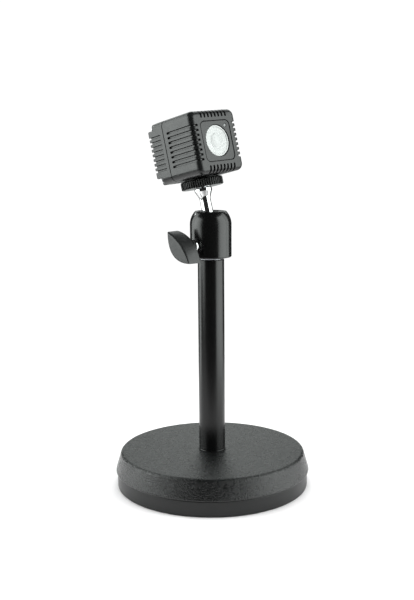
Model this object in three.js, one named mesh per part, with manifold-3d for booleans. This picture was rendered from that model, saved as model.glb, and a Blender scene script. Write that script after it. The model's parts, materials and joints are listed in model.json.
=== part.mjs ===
// Cube-shaped LED light on a mini ball head, a tubular pole and a round weighted base.
// Millimetres, +Z up. The origin is the centre of the underside of the base. The light faces -Y.
import * as THREE from 'three';
import { mergeVertices } from 'three/addons/utils/BufferGeometryUtils.js';
import Module from 'manifold-3d';

const wasm = await Module();
wasm.setup();

// ---------------------------------------------------------------- driving dimensions

// GAP is half the play between two touching parts, and PAST is how far a cutter reaches past a surface.
const GAP = 0.15;
const PAST = 1;

// Segments of a full turn, from the largest round parts to the smallest.
const FINE = 48;
const ROUND = 24;
const SMALL = 12;
const LEAST = 8;

// Cast base: a flat top, a sloping side, a rebate for the rubber ring and a recess underneath.
const BASE = {
  height: 21.8,
  topRadius: 56.6,
  edgeRound: 1.5,
  widestRadius: 59.6,
  widestHeight: 10.3,
  skirtHeight: 9.7,
  rebateRadius: 54.5,
  footHeight: 2,
  recessRadius: 42,
  recessCeiling: 12,
  boltHole: 5.3,
};
const RING = { radius: 58.7, innerRadius: 54.8, lipRadius: 50, lipThickness: 1.8, height: 9.5, chamfer: 0.8 };
const BOLT = { radius: 4.9, headFlats: 16, headHeight: 6, top: 37 };
const WASHER = { radius: 10, innerRadius: 5.3, thickness: 1.6 };
const LOCK_WASHER = { radius: 8.6, thickness: 1.8, slit: 1.2 };

// Pole: a steel tube with a threaded insert at each end.
const POLE = { radius: 8, innerRadius: 6.5, bottom: 22.6, top: 140.7, insertRadius: 6.25 };
const FOOT_WASHER = { radius: 8.3, innerRadius: 5.3 };
const FOOT_INSERT = { length: 24, bore: 5.15 };
const TOP_INSERT = { length: 22, shoulderRadius: 7.2, shoulderHeight: 0.7, studRadius: 2.9, studTop: 144.1 };

// Ball housing: a domed collar. The dome is one arc of domeRadius, tangent to the side.
const HOUSING = {
  bottom: 141.5,
  top: 169,
  radius: 12.5,
  bottomRound: 0.9,
  domeStart: 160.9,
  domeRadius: 11.7,
  bore: 9.2,
  coneStart: 161,
  throatHeight: 164.4,
  throatRadius: 7,
  mouthRadius: 8,
};
const PLUG = { radius: 9, bottom: 141.7, top: 144.5, hole: 3.15 };
const BALL = { radius: 8, centre: 159.2, clearance: 0.15 };
const SEAT = { radius: 8.95, bottom: 145.2, top: 155.2 };
const LINER = { bottom: 161.2, top: 163.7, wallGap: 0.2 };

// Clamp: a knob on a screw, which drives a cone-pointed pin into the side of the ball seat.
const CLAMP = { height: 149, screwRadius: 2.4, screwInner: 9.5, screwOuter: 20.3, clearance: 2.65 };
const PIN = { radius: 1.25, hole: 1.55, outer: 9.35, inner: 4.7, point: 0.4, cone: 1.6 };
const COLLAR = { radius: 4.2, neckRadius: 3.4, inner: 12.65, step: 14, outer: 15.6 };
const KNOB = {
  outerFace: 26.8,
  innerFace: 17.3,
  halfLength: { outer: 12.8, inner: 13 },
  rearWidth: { outer: 7, inner: 6.6 },
  frontWidth: { outer: 2.75, inner: 4.6 },
  edgeRound: 0.6,
  tipPower: 1.96,
  lean: 46.9,
  bossRadius: 4.3,
  bossRoot: 5,
  bossEnd: 15.9,
  holeRadius: 2.65,
  holeDepth: 21,
  wingSteps: 5,
};

// Tilted head, measured along its own axis from the ball's centre.
const HEAD = { tiltX: -11.84, tiltY: -3.62 };
const STEM = {
  neckRadius: 3.45,
  waistRadius: 3.2,
  waistHeight: 17.8,
  flareRadius: 5.25,
  flareHeight: 21.9,
  top: 23.75,
  socketRadius: 3.3,
  socketDepth: 4,
};
const STUD = { radius: 3.05, bottom: 19.9, top: 35 };
const WHEEL = {
  bottom: 24.05,
  top: 29.05,
  radius: 12.7,
  rootRadius: 12.15,
  ribs: 56,
  chamfer: 0.9,
  bore: 3.35,
};
const PAD = { bottom: 29.1, top: 29.65, radius: 10.5, bore: 3.4 };

// Light: an aluminium cube in two halves. Its own origin is on the stem's axis at mid height.
const LIGHT = {
  centre: 48.25,
  half: 18.3,
  front: 20,
  rear: 19.2,
  columnRear: 16.6,
  parting: -5.25,
  wall: 3.3,
  frontWall: 3.5,
  rearWall: 3,
  cornerRound: 4,
  frontRound: 3.5,
  columnRound: 3,
  rearRound: 2,
  notch: 14.2,
  cavityHalf: 15.2,
  cavityCorner: 24.4,
};
const GROOVE = {
  count: 8,
  pitch: 2.82,
  width: 1.25,
  depth: 1.15,
  frontReach: 13.8,
  sideEnd: 2.2,
  capStart: 7.8,
  rearReach: 14.4,
};
const CASE_SCREW = {
  offset: 15.2,
  radius: 1.1,
  hole: 1.35,
  headRadius: 1.6,
  socketRadius: 0.8,
  socketDepth: 1,
  counterbore: 1.85,
  sink: 2,
  tip: 3,
};
const GASKET = { outer: 16.7, outerCorner: 27.2, inner: 15.7, innerCorner: 26, depth: 0.7 };
const PANEL = { half: 11.6, round: 3, gap: 0.3, recess: 1.8, thickness: 1.45, lensHole: 9.3 };
const LENS = {
  radius: 9.1,
  rim: 19.3,
  crown: 19.5,
  flangeBack: 18.4,
  coneRadius: 7.5,
  coneEnd: 12.9,
  coneEndRadius: 4.4,
  pocketRadius: 3.8,
  pocketTop: 14.6,
  pocketDome: 0.5,
  shoulder: 19.45,
  hole: 8.6,
};
const LENS_RING = { radius: 8.08, tube: 0.38, depth: 17.3, sides: 6 };
const SENSOR = { x: 8.2, z: 8.6, radius: 1, face: 19.85, back: 18.4 };
const LED = { half: 2.5, front: 12.75, back: 12.1 };
const LED_BOARD = { radius: 10, front: 12, back: 10.6 };
const SPREADER = { half: 14.7, corner: 23.6, front: 10.5, back: 8.5 };
const BATTERY = { halfX: 12, bottom: -10.2, top: 12, front: 8, back: -1.5, round: 1.5 };
const BOARD = { half: 14.6, corner: 23.4, front: -8, back: -9.2 };
const INSERT = { radius: 4, bore: 3.25, length: 6.8, boss: 6, bossTop: -11 };
const SWITCH = { half: 3, back: -13.6, plungerRadius: 1.6, plungerBack: -14.1, z: 6.5 };
const BUTTON = {
  radius: 4,
  chamfer: 0.5,
  flangeRadius: 5.5,
  flangeFront: -14.8,
  flangeBack: -16,
  back: -19.6,
  hole: 4.75,
};
const BUTTON_SEAL = { inner: 4.1, outer: 4.6, front: -16.8, back: -17.8 };
const PORT = { z: -6, halfX: 4.4, halfZ: 1.6, wall: 0.5, back: -15.9, hole: 4.9 };
const CAP = {
  plugRadius: 4.6,
  plugEnd: -16.6,
  headRadius: 5.9,
  headChamfer: 0.4,
  headFront: -18.2,
  headBack: -19.6,
  recessRadius: 6.2,
  recessFloor: -17.8,
  slotWidth: 1.1,
  slotDepth: 0.6,
};
const CAP_SEAL = { inner: 4.7, outer: 5.7, front: -17.82, back: -18.18 };

// ---------------------------------------------------------------- solids and outlines

// A closed mesh with shared vertices, no collapsed triangles and its faces pointing out.
function solid(geometry) {
  const bare = geometry.clone();
  bare.deleteAttribute('normal');
  bare.deleteAttribute('uv');
  const merged = mergeVertices(bare, 1e-4);
  const position = merged.getAttribute('position');
  const corner = [new THREE.Vector3(), new THREE.Vector3(), new THREE.Vector3()];
  const kept = [];
  let volume = 0;
  for (let i = 0; i < merged.index.count; i += 3) {
    const triangle = [0, 1, 2].map((k) => merged.index.getX(i + k));
    if (new Set(triangle).size === 3) {
      triangle.forEach((vertex, k) => corner[k].fromBufferAttribute(position, vertex));
      volume += corner[0].dot(corner[1].clone().cross(corner[2]));
      kept.push(triangle);
    }
  }
  const facesOut = volume > 0 ? kept : kept.map((triangle) => triangle.reverse());
  const mesh = new wasm.Mesh({
    numProp: 3,
    vertProperties: Float32Array.from(position.array),
    triVerts: Uint32Array.from(facesOut.flat()),
  });
  return new wasm.Manifold(mesh);
}

function join(first, ...others) {
  return others.reduce((whole, other) => whole.add(other), first);
}

function cut(blank, ...tools) {
  return tools.reduce((rest, tool) => rest.subtract(tool), blank);
}

function toGeometry(shape) {
  const mesh = shape.getMesh();
  const geometry = new THREE.BufferGeometry();
  geometry.setAttribute('position', new THREE.BufferAttribute(Float32Array.from(mesh.vertProperties), 3));
  geometry.setIndex(new THREE.BufferAttribute(Uint32Array.from(mesh.triVerts), 1));
  const faceted = geometry.toNonIndexed();
  faceted.computeVertexNormals();
  return faceted;
}

// A profile of [radius, height] points turned about Z.
function turned(profile, segments = ROUND) {
  const points = profile.map(([radius, height]) => new THREE.Vector2(radius, height));
  return solid(new THREE.LatheGeometry(points, segments).rotateX(Math.PI / 2));
}

// A profile that closes on itself, clear of the axis.
function turnedRing(profile, segments = ROUND) {
  return turned([...profile, profile[0]], segments);
}

function disc(radius, low, high, segments = ROUND) {
  return turned([[0, low], [radius, low], [radius, high], [0, high]], segments);
}

function hollowDisc(inner, outer, low, high, segments = ROUND) {
  return turnedRing([[inner, low], [outer, low], [outer, high], [inner, high]], segments);
}

// Points of an arc in the plane of a profile, angles in degrees.
function arc(centreX, centreY, radius, from, to, steps) {
  return Array.from({ length: steps + 1 }, (_, i) => {
    const angle = THREE.MathUtils.degToRad(from + ((to - from) * i) / steps);
    return [centreX + radius * Math.cos(angle), centreY + radius * Math.sin(angle)];
  });
}

function outline(points) {
  return new THREE.Shape(points.map(([x, y]) => new THREE.Vector2(x, y)));
}

function roundedSquare(half, round, steps = 3) {
  const inner = half - round;
  return outline([
    ...arc(inner, inner, round, 0, 90, steps),
    ...arc(-inner, inner, round, 90, 180, steps),
    ...arc(-inner, -inner, round, 180, 270, steps),
    ...arc(inner, -inner, round, 270, 360, steps),
  ]);
}

// A square with its corners cut off where |x| + |y| reaches corner.
function octagon(half, corner) {
  const short = corner - half;
  return outline([
    [half, -short], [half, short], [short, half], [-short, half],
    [-half, short], [-half, -short], [-short, -half], [short, -half],
  ]);
}

function prism(shape, low, high) {
  const geometry = new THREE.ExtrudeGeometry(shape, { depth: high - low, bevelEnabled: false });
  return solid(geometry.translate(0, 0, low));
}

// A block between two opposite corners.
function box([lowX, lowY, lowZ], [highX, highY, highZ]) {
  const geometry = new THREE.BoxGeometry(highX - lowX, highY - lowY, highZ - lowZ);
  return solid(geometry.translate((lowX + highX) / 2, (lowY + highY) / 2, (lowZ + highZ) / 2));
}

// Turns a shape made along Z so that its Z points to the front, -Y, and its Y points up.
function facingFront(shape) {
  return shape.rotate([90, 0, 0]);
}

function matte(color, roughness, metalness = 0) {
  return new THREE.MeshStandardMaterial({ color, roughness, metalness });
}

function addPart(parent, name, shape, material) {
  const mesh = new THREE.Mesh(toGeometry(shape), material);
  mesh.name = name;
  parent.add(mesh);
}

const COLOURS = {
  castIron: '#2e3130',
  rubber: '#2a2d2c',
  blackPaint: '#161818',
  zinc: '#a9adae',
  brass: '#b08d4a',
  chrome: '#d9dcdd',
  acetal: '#1c1e1e',
  blackPlastic: '#232525',
  anodised: '#2c2f2e',
  aluminium: '#b4b8ba',
  frosted: '#eef2f2',
  paleGrey: '#b9bdbd',
  circuit: '#1f5a3c',
  whiteBoard: '#e8e8e4',
  phosphor: '#e6cf4a',
  pouch: '#8f9496',
  silicone: '#3a3d3d',
};

// ---------------------------------------------------------------- base

function addBase(parent) {
  const casting = turnedRing([
    [BASE.boltHole, BASE.recessCeiling],
    [BASE.recessRadius, BASE.recessCeiling],
    [BASE.recessRadius, BASE.footHeight],
    [BASE.rebateRadius, BASE.footHeight],
    [BASE.rebateRadius, BASE.skirtHeight],
    [BASE.widestRadius - GAP, BASE.skirtHeight],
    [BASE.widestRadius, BASE.widestHeight],
    [BASE.topRadius, BASE.height - BASE.edgeRound],
    [BASE.topRadius - BASE.edgeRound, BASE.height],
    [BASE.boltHole, BASE.height],
  ], FINE);
  addPart(parent, 'base_casting', casting, matte(COLOURS.castIron, 0.7, 0.3));

  const ring = turnedRing([
    [RING.lipRadius, 0],
    [RING.radius - RING.chamfer, 0],
    [RING.radius, RING.chamfer],
    [RING.radius, RING.height],
    [RING.innerRadius, RING.height],
    [RING.innerRadius, RING.lipThickness],
    [RING.lipRadius, RING.lipThickness],
  ], FINE);
  addPart(parent, 'isolation_ring', ring, matte(COLOURS.rubber, 0.8));

  const washerBottom = BASE.recessCeiling - WASHER.thickness;
  const washer = hollowDisc(WASHER.innerRadius, WASHER.radius, washerBottom, BASE.recessCeiling);
  addPart(parent, 'base_washer', washer, matte(COLOURS.zinc, 0.4, 0.9));

  const lockBottom = washerBottom - LOCK_WASHER.thickness;
  const slit = box(
    [0, -LOCK_WASHER.slit / 2, lockBottom - PAST],
    [LOCK_WASHER.radius + PAST, LOCK_WASHER.slit / 2, washerBottom + PAST]);
  const lockWasher = cut(hollowDisc(WASHER.innerRadius, LOCK_WASHER.radius, lockBottom, washerBottom), slit);
  addPart(parent, 'base_lock_washer', lockWasher, matte(COLOURS.zinc, 0.5, 0.9));

  const headBottom = lockBottom - BOLT.headHeight;
  const head = turned([
    [0, headBottom],
    [BOLT.headFlats / Math.sqrt(3), headBottom],
    [BOLT.headFlats / Math.sqrt(3), lockBottom],
    [0, lockBottom],
  ], 6);
  const bolt = join(head, disc(BOLT.radius, lockBottom - PAST, BOLT.top, SMALL));
  addPart(parent, 'pole_bolt', bolt, matte(COLOURS.zinc, 0.4, 0.9));
}

// ---------------------------------------------------------------- pole

function addPole(parent) {
  const washer = hollowDisc(FOOT_WASHER.innerRadius, FOOT_WASHER.radius, BASE.height, POLE.bottom);
  addPart(parent, 'pole_foot_washer', washer, matte(COLOURS.blackPaint, 0.6));

  const tube = hollowDisc(POLE.innerRadius, POLE.radius, POLE.bottom, POLE.top);
  addPart(parent, 'pole_tube', tube, matte(COLOURS.blackPaint, 0.35, 0.4));

  const footInsert = hollowDisc(
    FOOT_INSERT.bore, POLE.insertRadius, POLE.bottom, POLE.bottom + FOOT_INSERT.length);
  addPart(parent, 'pole_foot_insert', footInsert, matte(COLOURS.zinc, 0.5, 0.9));

  const shoulderTop = POLE.top + TOP_INSERT.shoulderHeight;
  const topInsert = turned([
    [0, POLE.top - TOP_INSERT.length],
    [POLE.insertRadius, POLE.top - TOP_INSERT.length],
    [POLE.insertRadius, POLE.top],
    [TOP_INSERT.shoulderRadius, POLE.top],
    [TOP_INSERT.shoulderRadius - TOP_INSERT.shoulderHeight / 2, shoulderTop],
    [TOP_INSERT.studRadius, shoulderTop],
    [TOP_INSERT.studRadius, TOP_INSERT.studTop],
    [0, TOP_INSERT.studTop],
  ]);
  addPart(parent, 'pole_top_insert', topInsert, matte(COLOURS.zinc, 0.3, 0.9));
}

// ---------------------------------------------------------------- ball head, fixed part

// Radius of a sphere about the ball's centre at the height z.
function ballRadiusAt(z, radius) {
  return Math.sqrt(radius * radius - (z - BALL.centre) ** 2);
}

// A turned piece laid along -X at the clamp's height: its Z becomes -X.
function alongClamp(shape) {
  return shape.rotate([0, -90, 0]).translate([0, 0, CLAMP.height]);
}

function addHousing(parent) {
  const domeCentre = HOUSING.radius - HOUSING.domeRadius;
  const domeEnd = THREE.MathUtils.radToDeg(Math.asin((HOUSING.top - HOUSING.domeStart) / HOUSING.domeRadius));
  const shell = turnedRing([
    [HOUSING.bore, HOUSING.bottom],
    ...arc(HOUSING.radius - HOUSING.bottomRound, HOUSING.bottom + HOUSING.bottomRound,
      HOUSING.bottomRound, -90, 0, 2),
    ...arc(domeCentre, HOUSING.domeStart, HOUSING.domeRadius, 0, domeEnd, 6),
    [HOUSING.mouthRadius, HOUSING.top],
    [HOUSING.throatRadius, HOUSING.throatHeight],
    [HOUSING.bore, HOUSING.coneStart],
  ], FINE);
  const screwHole = alongClamp(disc(CLAMP.clearance, 0, HOUSING.radius + PAST, SMALL));
  addPart(parent, 'ball_housing', cut(shell, screwHole), matte(COLOURS.blackPaint, 0.15, 0.5));

  const plug = hollowDisc(PLUG.hole, PLUG.radius, PLUG.bottom, PLUG.top);
  addPart(parent, 'housing_plug', plug, matte(COLOURS.zinc, 0.5, 0.9));

  const hollow = BALL.radius + BALL.clearance;
  const edge = THREE.MathUtils.radToDeg(Math.acos((BALL.centre - SEAT.top) / hollow));
  const cup = turned([
    [0, SEAT.bottom],
    [SEAT.radius, SEAT.bottom],
    [SEAT.radius, SEAT.top],
    ...arc(0, BALL.centre, hollow, edge - 90, -90, 5),
  ]);
  const pinHole = alongClamp(disc(PIN.hole, PIN.inner - PIN.point, HOUSING.bore, SMALL));
  addPart(parent, 'ball_seat', cut(cup, pinHole), matte(COLOURS.acetal, 0.6));

  const cone = (z) => THREE.MathUtils.mapLinear(
    z, HOUSING.coneStart, HOUSING.throatHeight, HOUSING.bore, HOUSING.throatRadius) - LINER.wallGap;
  const middle = (LINER.bottom + LINER.top) / 2;
  const liner = turnedRing([
    [ballRadiusAt(LINER.bottom, hollow), LINER.bottom],
    [cone(LINER.bottom), LINER.bottom],
    [cone(LINER.top), LINER.top],
    [ballRadiusAt(LINER.top, hollow), LINER.top],
    [ballRadiusAt(middle, hollow), middle],
  ]);
  addPart(parent, 'ball_liner', liner, matte(COLOURS.acetal, 0.6));
}

// ---------------------------------------------------------------- clamp

// A lens-shaped outline with softened tips, long along X.
function knobOutline(steps = 28) {
  return outline(Array.from({ length: steps }, (_, i) => {
    const angle = (2 * Math.PI * i) / steps;
    const sine = Math.sin(angle);
    const bulge = Math.sign(sine) * Math.abs(sine) ** KNOB.tipPower;
    return [Math.cos(angle), bulge];
  }));
}

// The wing is an extrusion of the unit outline, given its own length and widths at each face.
function knobWing() {
  const depth = KNOB.outerFace - KNOB.innerFace;
  const geometry = new THREE.ExtrudeGeometry(knobOutline(), {
    depth,
    steps: KNOB.wingSteps,
    bevelEnabled: false,
  });
  const position = geometry.getAttribute('position');
  for (let i = 0; i < position.count; i += 1) {
    const inward = 1 - position.getZ(i) / depth;
    const inset = position.getZ(i) === depth ? KNOB.edgeRound : 0;
    const width = position.getY(i) > 0 ? KNOB.rearWidth : KNOB.frontWidth;
    const sizeAt = ({ outer, inner }) => THREE.MathUtils.lerp(outer - inset, inner, inward);
    position.setX(i, position.getX(i) * sizeAt(KNOB.halfLength));
    position.setY(i, position.getY(i) * sizeAt(width));
  }
  return solid(geometry.translate(0, 0, KNOB.innerFace)).rotate([0, 0, KNOB.lean]);
}

function addClamp(parent) {
  const pin = turned([
    [0, PIN.inner],
    [PIN.point, PIN.inner],
    [PIN.radius, PIN.inner + PIN.cone],
    [PIN.radius, PIN.outer],
    [0, PIN.outer],
  ], SMALL);
  addPart(parent, 'pressure_pin', alongClamp(pin), matte(COLOURS.brass, 0.35, 0.9));

  const screw = disc(CLAMP.screwRadius, CLAMP.screwInner, CLAMP.screwOuter, SMALL);
  addPart(parent, 'knob_screw', alongClamp(screw), matte(COLOURS.zinc, 0.35, 0.9));

  const collar = turnedRing([
    [CLAMP.clearance, COLLAR.inner],
    [COLLAR.neckRadius, COLLAR.inner],
    [COLLAR.neckRadius, COLLAR.step],
    [COLLAR.radius, COLLAR.step],
    [COLLAR.radius, COLLAR.outer],
    [CLAMP.clearance, COLLAR.outer],
  ], SMALL);
  addPart(parent, 'knob_collar', alongClamp(collar), matte(COLOURS.chrome, 0.1, 1));

  const boss = turned([
    [0, KNOB.bossEnd],
    [KNOB.bossRadius, KNOB.bossEnd],
    [KNOB.bossRoot, KNOB.innerFace + GAP],
    [0, KNOB.innerFace + GAP],
  ], SMALL);
  const hole = disc(KNOB.holeRadius, KNOB.bossEnd - PAST, KNOB.holeDepth, SMALL);
  const knob = cut(join(knobWing(), boss), hole);
  addPart(parent, 'clamp_knob', alongClamp(knob), matte(COLOURS.blackPlastic, 0.55));
}

// ---------------------------------------------------------------- tilting head

function addStem(parent) {
  const neckAngle = THREE.MathUtils.radToDeg(Math.acos(STEM.neckRadius / BALL.radius));
  const stem = turned([
    ...arc(0, 0, BALL.radius, -90, neckAngle, 13),
    [STEM.waistRadius, STEM.waistHeight],
    [STEM.flareRadius, STEM.flareHeight],
    [STEM.flareRadius, STEM.top],
    [STEM.socketRadius, STEM.top],
    [STEM.socketRadius, STEM.top - STEM.socketDepth],
    [0, STEM.top - STEM.socketDepth],
  ]);
  addPart(parent, 'ball_stem', stem, matte(COLOURS.chrome, 0.08, 1));

  const stud = disc(STUD.radius, STUD.bottom, STUD.top, SMALL);
  addPart(parent, 'mounting_stud', stud, matte(COLOURS.zinc, 0.3, 0.9));
}

function addLockWheel(parent) {
  const rim = Array.from({ length: WHEEL.ribs * 2 }, (_, i) => {
    const angle = (Math.PI * i) / WHEEL.ribs;
    const radius = i % 2 ? WHEEL.rootRadius : WHEEL.radius;
    return [radius * Math.cos(angle), radius * Math.sin(angle)];
  });
  const chamfered = turned([
    [0, WHEEL.bottom],
    [WHEEL.radius - WHEEL.chamfer / 2, WHEEL.bottom],
    [WHEEL.radius + GAP, WHEEL.bottom + WHEEL.chamfer],
    [WHEEL.radius + GAP, WHEEL.top - WHEEL.chamfer],
    [WHEEL.radius - WHEEL.chamfer, WHEEL.top],
    [0, WHEEL.top],
  ], FINE);
  const knurled = prism(outline(rim), WHEEL.bottom, WHEEL.top).intersect(chamfered);
  const bore = disc(WHEEL.bore, WHEEL.bottom - PAST, WHEEL.top + PAST, SMALL);
  addPart(parent, 'lock_wheel', cut(knurled, bore), matte(COLOURS.blackPlastic, 0.4, 0.2));

  const pad = hollowDisc(PAD.bore, PAD.radius, PAD.bottom, PAD.top);
  addPart(parent, 'wheel_pad', pad, matte(COLOURS.rubber, 0.9));
}

// ---------------------------------------------------------------- light

// The cube's outer form between two depths in front of the stem, rounded at both ends.
function roundedBlock(back, front, round) {
  const core = roundedSquare(LIGHT.half - round, LIGHT.cornerRound - round);
  const block = new THREE.ExtrudeGeometry(core, {
    depth: front - back - 2 * round,
    bevelThickness: round,
    bevelSize: round,
    bevelSegments: 3,
  });
  return solid(block.translate(0, 0, back + round));
}

// A cutter for one groove on the +X side, which wraps round the front edge onto the front face.
// Its outline lies in X (outwards) and depth, and its width lies across.
function grooveCutter(sideEnd, front, reach, round) {
  const floor = LIGHT.half - GROOVE.depth;
  const frontFloor = front - GROOVE.depth;
  const clear = GROOVE.depth + PAST;
  const radius = GROOVE.width / 2;
  const corner = arc(floor - round, frontFloor - round, round, 0, 90, 3);
  const profile = outline([
    [LIGHT.half + clear, sideEnd + radius],
    [LIGHT.half + clear, front + clear],
    [reach + radius, front + clear],
    [reach + radius, frontFloor],
    ...corner.reverse(),
    [floor, sideEnd + radius],
  ]);
  const channel = prism(profile, -radius, radius).rotate([90, 0, 0]);
  const frontRound = disc(radius, frontFloor, front + clear, LEAST).translate([reach + radius, 0, 0]);
  const sideRound = disc(radius, floor, LIGHT.half + clear, LEAST).rotate([0, 90, 0]);
  return join(channel, frontRound, sideRound.translate([0, 0, sideEnd + radius]));
}

// Every groove of one end, on all four sides.
function grooveSet(cutter) {
  const grooves = [];
  for (let side = 0; side < 4; side += 1) {
    for (let i = 0; i < GROOVE.count; i += 1) {
      const across = (i - (GROOVE.count - 1) / 2) * GROOVE.pitch;
      grooves.push(cutter.translate([0, across, 0]).rotate([0, 0, side * 90]));
    }
  }
  return wasm.Manifold.union(grooves);
}

const CORNERS = [[1, 1], [-1, 1], [-1, -1], [1, -1]];

// A copy of a shape at each corner of the case, where a case screw goes.
function atCaseScrews(shape) {
  return CORNERS.map(([x, y]) => shape.translate([x * CASE_SCREW.offset, y * CASE_SCREW.offset, 0]));
}

// All of the space between two depths that the case can reach.
function slab(back, front) {
  const reach = LIGHT.half + PAST;
  return box([-reach, -reach, back], [reach, reach, front]);
}

// A disc whose axis runs along Y, from one height to another.
function uprightDisc(radius, low, high, segments = SMALL) {
  return disc(radius, -high, -low, segments).rotate([90, 0, 0]);
}

function addLightBody(parent) {
  const block = roundedBlock(-LIGHT.rear, LIGHT.front, LIGHT.frontRound);
  const behindParting = slab(-LIGHT.rear - PAST, LIGHT.parting + GAP);
  const cavity = prism(
    octagon(LIGHT.cavityHalf, LIGHT.cavityCorner), LIGHT.parting - PAST, LIGHT.front - LIGHT.frontWall);
  const innerFloor = -LIGHT.half + LIGHT.wall;
  const boss = uprightDisc(INSERT.boss, innerFloor - PAST, INSERT.bossTop);
  const recess = prism(
    roundedSquare(PANEL.half + PANEL.gap, PANEL.round + PANEL.gap),
    LIGHT.front - PANEL.recess,
    LIGHT.front + PAST);
  const lensHole = disc(LENS.hole, 0, LIGHT.front);
  const bedBack = LIGHT.parting + GAP - PAST;
  const bedFront = LIGHT.parting + GAP + GASKET.depth;
  const gasketBed = cut(
    prism(octagon(GASKET.outer + GAP, GASKET.outerCorner + GAP), bedBack, bedFront),
    prism(octagon(GASKET.inner - GAP, GASKET.innerCorner - GAP), bedBack - PAST, bedFront + PAST));
  const screwHoles = atCaseScrews(disc(CASE_SCREW.hole, LIGHT.parting, CASE_SCREW.tip + PAST, SMALL));
  const grooves = grooveSet(grooveCutter(
    -GROOVE.sideEnd, LIGHT.front, GROOVE.frontReach, LIGHT.frontRound - GROOVE.depth));
  const insertHole = uprightDisc(INSERT.radius + GAP, -LIGHT.half - PAST, -LIGHT.half + INSERT.length + GAP);
  const hollow = join(cut(block, cavity), boss);
  const body = cut(hollow, behindParting, recess, lensHole, ...screwHoles, grooves, insertHole, gasketBed);
  addPart(parent, 'light_body', facingFront(body), matte(COLOURS.anodised, 0.45, 0.5));

  const insert = cut(
    uprightDisc(INSERT.radius, -LIGHT.half + GAP, -LIGHT.half + INSERT.length),
    uprightDisc(INSERT.bore, -LIGHT.half - PAST, -LIGHT.half + INSERT.length + PAST));
  addPart(parent, 'tripod_insert', facingFront(insert), matte(COLOURS.brass, 0.35, 0.9));
}

function addRearCap(parent) {
  const columns = roundedBlock(-LIGHT.columnRear, LIGHT.front, LIGHT.columnRound);
  const outside = LIGHT.half + PAST;
  const notches = CORNERS.map(([x, y]) => box(
    [Math.min(x * LIGHT.notch, x * outside), Math.min(y * LIGHT.notch, y * outside), -LIGHT.rear - PAST],
    [Math.max(x * LIGHT.notch, x * outside), Math.max(y * LIGHT.notch, y * outside),
      -LIGHT.columnRear + LIGHT.columnRound]));
  const crossBlock = cut(roundedBlock(-LIGHT.rear, LIGHT.front, LIGHT.rearRound), ...notches);
  const aheadOfParting = slab(LIGHT.parting - GAP, LIGHT.front + PAST);
  const cavity = prism(
    octagon(LIGHT.cavityHalf, LIGHT.cavityCorner), -LIGHT.rear + LIGHT.rearWall, LIGHT.parting + PAST);
  const screwBores = atCaseScrews(join(
    disc(CASE_SCREW.hole, -LIGHT.rear, LIGHT.parting, SMALL),
    disc(CASE_SCREW.counterbore, -LIGHT.rear - PAST, -LIGHT.columnRear + CASE_SCREW.sink, SMALL)));
  const grooves = grooveSet(grooveCutter(
    GROOVE.capStart, LIGHT.rear, GROOVE.rearReach, LIGHT.rearRound - GROOVE.depth / 2)).mirror([0, 0, 1]);
  const buttonHole = disc(BUTTON.hole, -LIGHT.rear - PAST, LIGHT.parting).translate([0, SWITCH.z, 0]);
  const portHole = join(
    disc(PORT.hole, -LIGHT.rear - PAST, LIGHT.parting),
    disc(CAP.recessRadius, -LIGHT.rear - PAST, CAP.recessFloor)).translate([0, PORT.z, 0]);
  const block = join(columns, crossBlock);
  const cap = cut(block, aheadOfParting, cavity, ...screwBores, grooves, buttonHole, portHole);
  addPart(parent, 'rear_cap', facingFront(cap), matte(COLOURS.anodised, 0.45, 0.5));

  const gasket = cut(
    prism(octagon(GASKET.outer, GASKET.outerCorner), LIGHT.parting, LIGHT.parting + GASKET.depth - GAP),
    prism(octagon(GASKET.inner, GASKET.innerCorner), LIGHT.parting - PAST, LIGHT.parting + GASKET.depth));
  addPart(parent, 'case_gasket', facingFront(gasket), matte(COLOURS.silicone, 0.8));
}

function addCaseScrews(parent) {
  const headBack = -LIGHT.columnRear + GAP;
  const seatDepth = -LIGHT.columnRear + CASE_SCREW.sink - GAP;
  const hexSocket = disc(CASE_SCREW.socketRadius, headBack - PAST, headBack + CASE_SCREW.socketDepth, 6);
  const screw = cut(join(
    disc(CASE_SCREW.headRadius, headBack, seatDepth, SMALL),
    disc(CASE_SCREW.radius, seatDepth - GAP, CASE_SCREW.tip, SMALL)), hexSocket);
  atCaseScrews(screw).forEach((placed, i) => {
    addPart(parent, `case_screw_${i + 1}`, facingFront(placed), matte(COLOURS.zinc, 0.3, 0.9));
  });
}

function addFront(parent) {
  const floor = LIGHT.front - PANEL.recess + GAP;
  const panel = cut(
    prism(roundedSquare(PANEL.half, PANEL.round), floor, floor + PANEL.thickness),
    disc(PANEL.lensHole, 0, LIGHT.front + PAST),
    disc(SENSOR.radius + GAP, 0, LIGHT.front + PAST, SMALL).translate([SENSOR.x, SENSOR.z, 0]));
  addPart(parent, 'front_panel', facingFront(panel), matte(COLOURS.anodised, 0.5, 0.4));

  const lens = turned([
    [0, LENS.pocketTop],
    [LENS.pocketRadius, LENS.pocketTop - LENS.pocketDome],
    [LENS.pocketRadius, LENS.coneEnd],
    [LENS.coneEndRadius, LENS.coneEnd],
    [LENS.coneRadius, LENS.flangeBack],
    [LENS.radius, LENS.flangeBack],
    [LENS.radius, LENS.rim],
    [LENS.radius / 2, LENS.shoulder],
    [0, LENS.crown],
  ]);
  addPart(parent, 'lens', facingFront(lens), matte(COLOURS.frosted, 0.3));

  const lastCorner = 360 - 360 / LENS_RING.sides;
  const section = arc(LENS_RING.radius, LENS_RING.depth, LENS_RING.tube, 0, lastCorner, LENS_RING.sides - 1);
  addPart(parent, 'lens_seal', facingFront(turnedRing(section)), matte(COLOURS.silicone, 0.8));

  const window = disc(SENSOR.radius, SENSOR.back, SENSOR.face, SMALL).translate([SENSOR.x, SENSOR.z, 0]);
  addPart(parent, 'sensor_window', facingFront(window), matte(COLOURS.paleGrey, 0.3));
}

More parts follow.
